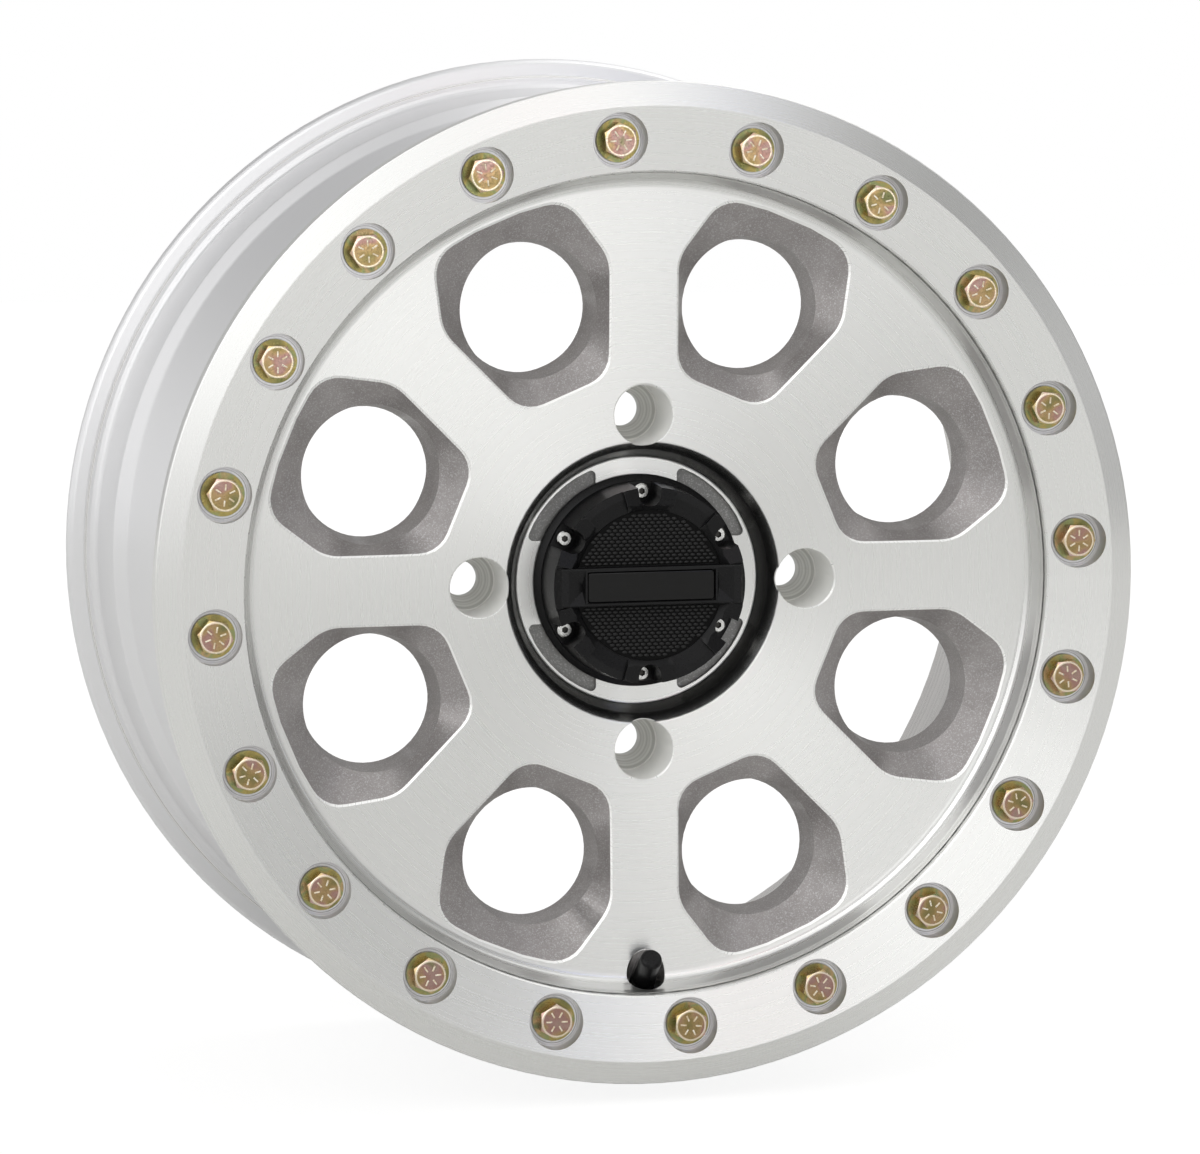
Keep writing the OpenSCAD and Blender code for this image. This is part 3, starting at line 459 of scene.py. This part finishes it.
# %% [markdown]
# ## Smooth flares
# Each window flares from its outline to a round bore. The CAD model builds that flare from narrow flat
# triangles, which show as a fan under studio light. A copy of the casting keeps every surface, and only
# the normals of those triangles change: each corner takes the mean of the flare's normals near its own
# bearing from the window's centre, so light rolls round the flare as it does on the casting.

# %% A copy of the casting with its vertices joined
flared_mesh = nodes["wheel_casting"].data.copy()
flared_mesh.name = "wheel_casting_smooth"


def read(items, what, width=1, kind=np.float32):
    """One value of every item in a mesh, as rows of an array."""
    flat = np.empty(len(items) * width, kind)
    items.foreach_get(what, flat)
    return flat.reshape(-1, width) if width > 1 else flat


# Joining vertices loses the normals, so an attribute carries them across
kept = flared_mesh.attributes.new("kept_normal", "FLOAT_VECTOR", "CORNER")
kept.data.foreach_set("vector", read(flared_mesh.corner_normals, "vector", 3).ravel())
joined = bmesh.new()
joined.from_mesh(flared_mesh)
bmesh.ops.remove_doubles(joined, verts=joined.verts, dist=0.001 * MM)
joined.to_mesh(flared_mesh)
joined.free()
corner_normals = read(flared_mesh.attributes["kept_normal"].data, "vector", 3)
flared_mesh.attributes.remove(flared_mesh.attributes["kept_normal"])
print("vertices of the copy:", len(flared_mesh.vertices))

# %% The triangles of the flares
WINDOW_COUNT = 8
WINDOW_STEP = 360 / WINDOW_COUNT
WINDOW_CENTRE = 120.8 * MM
FLARE_IN = 82 * MM
FLARE_OUT = 161.5 * MM
FLARE_TOP = 0.6 * MM
FLARE_BACK = BOLT_PLANE + 27 * MM
LEAST_TILT = 0.2

places = read(flared_mesh.vertices, "co", 3)
corner_vertex = read(flared_mesh.loops, "vertex_index", kind=np.int32)
face_normal = read(flared_mesh.polygons, "normal", 3)
face_centre = read(flared_mesh.polygons, "center", 3)
face_area = read(flared_mesh.polygons, "area")
face_radius = np.hypot(face_centre[:, 0], face_centre[:, 2])
face_depth = BOLT_PLANE + FACE_DEPTH_AT_RIM + (FACE_RIM_RADIUS - face_radius) * FACE_SLOPE
in_flare = (
    (face_radius > FLARE_IN) & (face_radius < FLARE_OUT)
    & (face_centre[:, 1] - face_depth > FLARE_TOP) & (face_centre[:, 1] < FLARE_BACK)
    & (face_normal[:, 1] < -LEAST_TILT)
)
flare_faces = np.flatnonzero(in_flare)
face_clock = np.degrees(np.arctan2(face_centre[:, 0], face_centre[:, 2]))
window_of_face = np.round((face_clock - WINDOW_STEP / 2) / WINDOW_STEP).astype(int) % WINDOW_COUNT
print("flare triangles:", len(flare_faces))

# %% Rolled normals
BEARING_SPREAD = math.radians(4.0)
BEARING_STEPS = 361


def bearings(points, window):
    """The bearing of each point from the centre of its window's bore."""
    clock = math.radians(WINDOW_STEP * (window + 0.5))
    centre = (WINDOW_CENTRE * math.sin(clock), WINDOW_CENTRE * math.cos(clock))
    return np.arctan2(points[:, 0] - centre[0], points[:, 2] - centre[1])


for window in range(WINDOW_COUNT):
    faces = flare_faces[window_of_face[flare_faces] == window]
    face_bearing = bearings(face_centre[faces], window)
    steps = np.linspace(-math.pi, math.pi, BEARING_STEPS)
    apart = (steps[:, None] - face_bearing[None, :] + math.pi) % (2 * math.pi) - math.pi
    weight = np.exp(-0.5 * (apart / BEARING_SPREAD) ** 2) * face_area[faces]
    rolled = weight @ face_normal[faces]
    corners = (3 * faces[:, None] + np.arange(3)).ravel()
    corner_bearing = bearings(places[corner_vertex[corners]], window)
    for axis in range(3):
        corner_normals[corners, axis] = np.interp(corner_bearing, steps, rolled[:, axis])
corner_normals /= np.linalg.norm(corner_normals, axis=1, keepdims=True)
flared_mesh.normals_split_custom_set(corner_normals)

flared_mesh.materials.clear()
flared_mesh.materials.append(casting)
flared_casting = bpy.data.objects.new("wheel_casting_smooth", flared_mesh)
scene.collection.objects.link(flared_casting)
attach(flared_casting, "wheel")
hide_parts("wheel_casting")
print("windows with rolled normals:", WINDOW_COUNT)


# %% [markdown]
# ## Yellow zinc
# Yellow zinc plating is a thin film over bright zinc, so its colour drifts between gold, pink and green
# across a head. The noise that picks the colour is moved by the normal, so it jumps from facet to facet,
# and by the bolt's number, so no two heads are alike.

# %% Yellow zinc
FILM_PLACES = (0.28, 0.40, 0.48, 0.56, 0.64, 0.72)
COLOUR_PATCH = 25 / 3 * MM
FACET_JUMP = 0.8
BOLT_JUMP = 3.7
SCALE_GRAIN = 0.8 * MM
ON_HEAD = (BOLT_PLANE - 1.6 * MM, BOLT_PLANE - 1.75 * MM)
IN_DISC = (5.7 * MM, 5.4 * MM)
PAST_DISC = (5.5 * MM, 5.75 * MM)
BEFORE_FLATS = (6.5 * MM, 6.3 * MM)


def yellow_zinc(name, film, disc_tint, roughness):
    """Zinc whose film colour drifts over a head, jumps from facet to facet, and differs from bolt to bolt."""
    material, tree, shader = new_material(name, Metallic=1.0)
    coordinates = node(tree, "TexCoord")
    point = coordinates["Object"]
    depth = node(tree, "SeparateXYZ", {0: point})["Y"]
    from_bolt, number = from_nearest(tree, point, BOLT_CIRCLE, BOLT_COUNT, BOLT_PHASE)
    patches = node(tree, "VectorMath", {0: point, 1: [1 / COLOUR_PATCH] * 3}, operation="MULTIPLY")[0]
    facets = node(tree, "VectorMath", {0: coordinates["Normal"], 1: [FACET_JUMP] * 3, 2: patches},
                  operation="MULTIPLY_ADD")[0]
    batch = node(tree, "Math", {0: number, 1: BOLT_JUMP}, operation="MULTIPLY")[0]
    drift = node(tree, "TexNoise", {"Vector": facets, "W": batch, "Scale": 1.0, "Detail": 1.5},
                 noise_dimensions="4D")["Fac"]
    ramp = node(tree, "ValToRGB", {0: drift})
    stops = ramp[0].node.color_ramp.elements
    stops[0].position, stops[0].color = FILM_PLACES[0], linear(film[0])
    stops[1].position, stops[1].color = FILM_PLACES[-1], linear(film[-1])
    for place, colour in zip(FILM_PLACES[1:-1], film[1:-1]):
        stops.new(place).color = linear(colour)
    # The rim of the head is painted pale, a painted highlight where its chamfer catches the lamps, and the
    # disc inside it is duller
    disc = zone(tree, (depth, ON_HEAD), (from_bolt, IN_DISC))
    rim = zone(tree, (depth, ON_HEAD), (from_bolt, PAST_DISC), (from_bolt, BEFORE_FLATS))
    dulled = node(tree, "Mix", {0: disc, "A": linear(WHITE), "B": linear(disc_tint)}, data_type="RGBA")
    tone = node(tree, "Mix", {0: 1.0, "A": ramp[0], "B": dulled["Result"]}, data_type="RGBA",
                blend_type="MULTIPLY")["Result"]
    # Pale cream over most of the rim is a painted highlight
    rim_highlight = node(tree, "Math", {0: rim, 1: 0.75}, operation="MULTIPLY")[0]
    tone = node(tree, "Mix", {0: rim_highlight, "A": tone, "B": linear("#F1E3CF")}, data_type="RGBA")["Result"]
    tree.links.new(tone, shader["Base Color"])
    scale = node(tree, "TexNoise", {"Vector": point, "Scale": 1 / SCALE_GRAIN, "Detail": 2.0})["Fac"]
    rough = node(tree, "MapRange", {0: scale, 1: 0.3, 2: 0.7, 3: roughness - 0.06, 4: roughness + 0.1})
    tree.links.new(rough["Result"], shader["Roughness"])
    forged = node(tree, "Bump", {"Height": scale, "Strength": 0.25, "Distance": 0.0001})
    tree.links.new(forged[0], shader["Normal"])
    return material


# To the eye: gold heads with pink and olive patches and a pale rim that is a painted highlight
zinc = yellow_zinc("yellow zinc plated steel",
                   ("#8C9468", "#B9A973", "#CFB78A", "#C7A398", "#CDB3AA", "#A3A57E"), "#CFC6C4", 0.22)
# To the eye: a greener ring under each head, whose darker tones are partly its own film and partly painted
# shade under the head
washer_zinc = yellow_zinc("yellow zinc plated washer steel",
                          ("#6F7448", "#8C8556", "#A6965C", "#8B9468", "#B59A72", "#78805E"), WHITE, 0.3)
dress("ring_bolts", zinc)
dress("ring_washers", washer_zinc)


# %% [markdown]
# ## Grade marks on the bolt heads
# A forged bolt head carries radial marks that say how strong the steel is. They could be engraved
# with booleans, but real ones stand proud, so each is a small rounded bar laid on the head.
# One bar is made once and copied round each head, and the heads stop at different angles.

# %% A helper that repeats a small mesh
def stamp(pattern, mesh, matrix):
    """Adds a copy of a small mesh to the pattern, at the place that the matrix gives."""
    before = len(pattern.verts)
    pattern.from_mesh(mesh)
    pattern.verts.ensure_lookup_table()
    bmesh.ops.transform(pattern, matrix=matrix, verts=pattern.verts[before:])


# %% Marks
HEAD_TOP = BOLT_PLANE - 1.85 * MM
MARK_COUNT = 6
MARK_SIZE = Vector((2.5, 0.5, 0.7)) * MM
MARK_RADIUS = 3.2 * MM
MARK_ROUND = 0.18 * MM
HEAD_TURN = 37

bar = bmesh.new()
bmesh.ops.create_cube(bar, size=1.0)
bmesh.ops.scale(bar, verts=bar.verts, vec=MARK_SIZE)
bmesh.ops.translate(bar, verts=bar.verts, vec=(MARK_RADIUS, 0.0, 0.0))
upper = [e for e in bar.edges if all(v.co.y < 0 for v in e.verts)]
bmesh.ops.bevel(bar, geom=upper, offset=MARK_ROUND, segments=2, profile=0.5, affect="EDGES", material=-1)
bar_mesh = bpy.data.meshes.new("one grade mark")
bar.to_mesh(bar_mesh)
bar.free()
marks = bmesh.new()
for bolt in range(BOLT_COUNT):
    clock = math.radians(BOLT_PHASE + bolt * 360 / BOLT_COUNT)
    place = Matrix.Translation((BOLT_CIRCLE * math.sin(clock), HEAD_TOP, BOLT_CIRCLE * math.cos(clock)))
    for mark in range(MARK_COUNT):
        turn = math.radians(mark * 360 / MARK_COUNT + HEAD_TURN * bolt) + clock
        stamp(marks, bar_mesh, place @ Matrix.Rotation(turn, 4, "Y"))
marks_mesh = bpy.data.meshes.new("bolt_grade_marks")
marks.to_mesh(marks_mesh)
marks.free()
bpy.data.meshes.remove(bar_mesh)
print("marks on each head:", MARK_COUNT)

# %% Metal of the marks
MARK_MOTTLE = 1.5 * MM

# To the eye: raised bars painted nearly white, a painted highlight for the light they catch, so that each
# head shows a pale star
mark_highlight_zinc, tree, shader = new_material("yellow zinc painted pale as a highlight on raised marks", Metallic=0.7)
point = node(tree, "TexCoord")["Object"]
mark_mottle = node(tree, "TexNoise", {"Vector": point, "Scale": 1 / MARK_MOTTLE, "Detail": 1.0})["Fac"]
share = node(tree, "MapRange", {0: mark_mottle, 1: 0.35, 2: 0.65})["Result"]
# The pale cream of the marks is a painted highlight, mottled at random
tone = node(tree, "Mix", {0: share, "A": linear("#DCC9A8"), "B": linear("#FBF3E2")}, data_type="RGBA")
tree.links.new(tone["Result"], shader["Base Color"])
rough = node(tree, "MapRange", {0: mark_mottle, 1: 0.35, 2: 0.65, 3: 0.4, 4: 0.25})["Result"]
tree.links.new(rough, shader["Roughness"])
marks_mesh.materials.append(mark_highlight_zinc)
grade_marks = bpy.data.objects.new("bolt_grade_marks", marks_mesh)
scene.collection.objects.link(grade_marks)
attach(grade_marks, "wheel")
print("grade marks:", len(marks_mesh.polygons), "faces")


# %% [markdown]
# ## Grain for small parts
# Moulded plastic, rubber and drawn metal differ in how coarse their skin is and how much its gloss varies.
# One function gives a material that skin: two tones, a span of roughness, and a bump, all from one noise.

# %% Skin
def skin(tree, shader, grain_size, tones, roughness, bump_height):
    """Links a grain to a shader, and gives back the point and the tone for what is added over it."""
    point = node(tree, "TexCoord")["Object"]
    grain = node(tree, "TexNoise", {"Vector": point, "Scale": 1 / grain_size, "Detail": 2.0})["Fac"]
    share = node(tree, "MapRange", {0: grain, 1: 0.3, 2: 0.7})["Result"]
    dark, light = (linear(tone) for tone in tones)
    tone = node(tree, "Mix", {0: share, "A": dark, "B": light}, data_type="RGBA")["Result"]
    tree.links.new(tone, shader["Base Color"])
    smooth, coarse = roughness
    rough = node(tree, "MapRange", {0: grain, 1: 0.3, 2: 0.7, 3: smooth, 4: coarse})["Result"]
    tree.links.new(rough, shader["Roughness"])
    bump = node(tree, "Bump", {"Height": grain, "Strength": 0.5, "Distance": bump_height})[0]
    tree.links.new(bump, shader["Normal"])
    return point, tone


# %% Black plastic
# To the eye: a soft sheen that a sparked mould leaves, nearly black, with fine grain at its highlights
satin_black, tree, shader = new_material("satin moulded black plastic", IOR=1.49, Specular_IOR_Level=0.22)
skin(tree, shader, 0.5 * MM, ("#0B0B0C", "#121213"), (0.26, 0.36), 0.02 * MM)
for name in ("cap_base", "cap_cover", "valve_cap"):
    dress(name, satin_black)

# %% [markdown]
# ## Woven inserts
# The two inserts are moulded to look woven: rows of small ovals, each row shifted by half an oval.
# A bump could hint at them, but they stand up enough to catch light on their flanks, so each is a real
# hump: one small squashed ball is made once, copied into every place, and left half sunk in the insert.

# %% Weave
# The rows are about 1.25 mm apart on the real cap, and drawn a little coarser so that they show
OVAL_LENGTH = 2.6 * MM
OVAL_ROW = 1.5 * MM
OVAL_HEIGHT = 0.4 * MM
OVAL_FILL = 0.46
INSERT_RADIUS = 30.6 * MM
OVAL_INSET = 0.35 * OVAL_LENGTH
ROW_INSET = 0.4 * OVAL_ROW

# To the eye: dull black between the ovals, so that they stand out
woven_ground, tree, shader = new_material(
    "shadowed ground of a moulded weave", IOR=1.49, Specular_IOR_Level=0.1)
skin(tree, shader, 0.5 * MM, ("#030303", "#070707"), (0.4, 0.5), 0.02 * MM)
# To the eye: small glints, one on the flank of each oval
woven, tree, shader = new_material("black plastic moulded as a weave", IOR=1.49, Specular_IOR_Level=0.35)
skin(tree, shader, 0.5 * MM, ("#0E0E0E", "#171717"), (0.28, 0.38), 0.02 * MM)

hump = bmesh.new()
bmesh.ops.create_uvsphere(hump, u_segments=10, v_segments=6, radius=1.0)
bmesh.ops.scale(hump, verts=hump.verts, vec=(OVAL_LENGTH * OVAL_FILL, OVAL_HEIGHT, OVAL_ROW * OVAL_FILL))
for face in hump.faces:
    face.smooth = True
hump_mesh = bpy.data.meshes.new("one oval")
hump.to_mesh(hump_mesh)
hump.free()
weave = bmesh.new()
reach = INSERT_RADIUS - OVAL_INSET
row_reach = int(reach / OVAL_ROW) + 1
column_reach = int(reach / OVAL_LENGTH) + 1
for name in ("cap_insert_upper", "cap_insert_lower"):
    dress(name, woven_ground)
    low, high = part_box(name)
    for row in range(-row_reach, row_reach + 1):
        for column in range(-column_reach, column_reach + 1):
            x = (column + 0.5 * (row % 2)) * OVAL_LENGTH
            z = row * OVAL_ROW
            if math.hypot(x, z) <= reach and low.z + ROW_INSET < z < high.z - ROW_INSET:
                stamp(weave, hump_mesh, Matrix.Translation((x, low.y, z)))
weave_mesh = bpy.data.meshes.new("cap_weave")
weave.to_mesh(weave_mesh)
weave.free()
bpy.data.meshes.remove(hump_mesh)
weave_mesh.materials.append(woven)
cap_weave = bpy.data.objects.new("cap_weave", weave_mesh)
scene.collection.objects.link(cap_weave)
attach(cap_weave, "wheel")
print("weave:", len(weave_mesh.polygons), "faces")

# %% [markdown]
# ## Badge plate
# The bar carries a glossy plate with rounded corners and a softly rolled edge, left bare here. The CAD
# solid has sharp edges that catch no light, so a block is beveled in its place: first its four upright
# corners, then the rim of its front.

# %% Badge
CORNER_ROUND = 1.6 * MM
RIM_ROUND = 0.9 * MM
FLAT_AREA = 20 * MM * MM

low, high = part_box("cap_badge")
plate = bmesh.new()
bmesh.ops.create_cube(plate, size=1.0)
bmesh.ops.scale(plate, verts=plate.verts, vec=high - low)
bmesh.ops.translate(plate, verts=plate.verts, vec=(low + high) / 2)
corners = [e for e in plate.edges if abs(e.verts[0].co.y - e.verts[1].co.y) > 0.1 * MM]
bmesh.ops.bevel(plate, geom=corners, offset=CORNER_ROUND, segments=5, profile=0.5, affect="EDGES",
                material=-1)
rim = [e for e in plate.edges if all(v.co.y < low.y + 0.01 * MM for v in e.verts)]
bmesh.ops.bevel(plate, geom=rim, offset=RIM_ROUND, segments=4, profile=0.5, affect="EDGES", material=-1)
for face in plate.faces:
    face.smooth = face.calc_area() < FLAT_AREA
plate_mesh = bpy.data.meshes.new("badge_plate")
plate.to_mesh(plate_mesh)
plate.free()
# To the eye: piano black, with a clear reflection that rolls over the rim
glossy, tree, shader = new_material("glossy black plastic", IOR=1.49, Specular_IOR_Level=0.3)
skin(tree, shader, 2.5 * MM, ("#050505", "#080808"), (0.08, 0.14), 0.004 * MM)
plate_mesh.materials.append(glossy)
badge_plate = bpy.data.objects.new("badge_plate", plate_mesh)
scene.collection.objects.link(badge_plate)
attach(badge_plate, "wheel")
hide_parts("cap_badge")
print("badge plate:", len(plate_mesh.polygons), "faces")

# %% [markdown]
# ## Small metal, rubber and seals
# The cap's screws are bright stainless steel, with painted shade in their sockets.
# The valve's brass is turned and then left bare, and its rubber is matt from its mould.

# %% Stainless steel
SOCKET = (1.75 * MM, 1.6 * MM)
SOCKET_DEPTH = (SCREW_TOP + 0.05 * MM, SCREW_TOP + 0.3 * MM)

# To the eye: bright, slightly grey wire with a broken highlight
stainless, tree, shader = new_material("drawn stainless steel", Metallic=1.0)
skin(tree, shader, 0.7 * MM, ("#CFCFCD", "#E2E2E0"), (0.16, 0.26), 0.01 * MM)
for name in ("cap_clip_ring", "valve_spring"):
    dress(name, stainless)

# To the eye: a bright ring round a dark dot, the dot being painted shade in the socket
screw_steel, tree, shader = new_material("stainless steel with painted shade in its sockets", Metallic=1.0)
point, tone = skin(tree, shader, 0.7 * MM, ("#C4C4C2", "#E6E6E4"), (0.14, 0.24), 0.01 * MM)
from_screw, _ = from_nearest(tree, point, SCREW_CIRCLE, SCREW_COUNT, 0.0)
depth = node(tree, "SeparateXYZ", {0: point})["Y"]
in_socket = zone(tree, (from_screw, SOCKET), (depth, SOCKET_DEPTH))
# The dark in each socket is painted shade
socket_shade = node(tree, "Mix", {0: in_socket, "A": tone, "B": linear("#3C3B39")}, data_type="RGBA")["Result"]
tree.links.new(socket_shade, shader["Base Color"])
dress("cap_screws", screw_steel)

# %% Rubber, brass and seal
# To the eye: matt black that takes no clear reflection
rubber, tree, shader = new_material("moulded black rubber", IOR=1.52, Specular_IOR_Level=0.15)
skin(tree, shader, 0.6 * MM, ("#0B0B0B", "#151515"), (0.5, 0.66), 0.03 * MM)
for name in ("valve_stem", "valve_pin_seal", "valve_cap_seal"):
    dress(name, rubber)
# To the eye: warm yellow metal with the fine grain of its turning
brass, tree, shader = new_material("turned brass", Metallic=1.0)
skin(tree, shader, 0.4 * MM, ("#B8924E", "#D2AD66"), (0.2, 0.32), 0.01 * MM)
for name in ("valve_tube", "valve_core", "valve_pin"):
    dress(name, brass)
# To the eye: waxy white, with a soft sheen
seal, tree, shader = new_material("white sealing plastic", IOR=1.38)
skin(tree, shader, 0.5 * MM, ("#DCDAD3", "#ECEAE4"), (0.34, 0.46), 0.01 * MM)
dress("valve_core_gasket", seal)
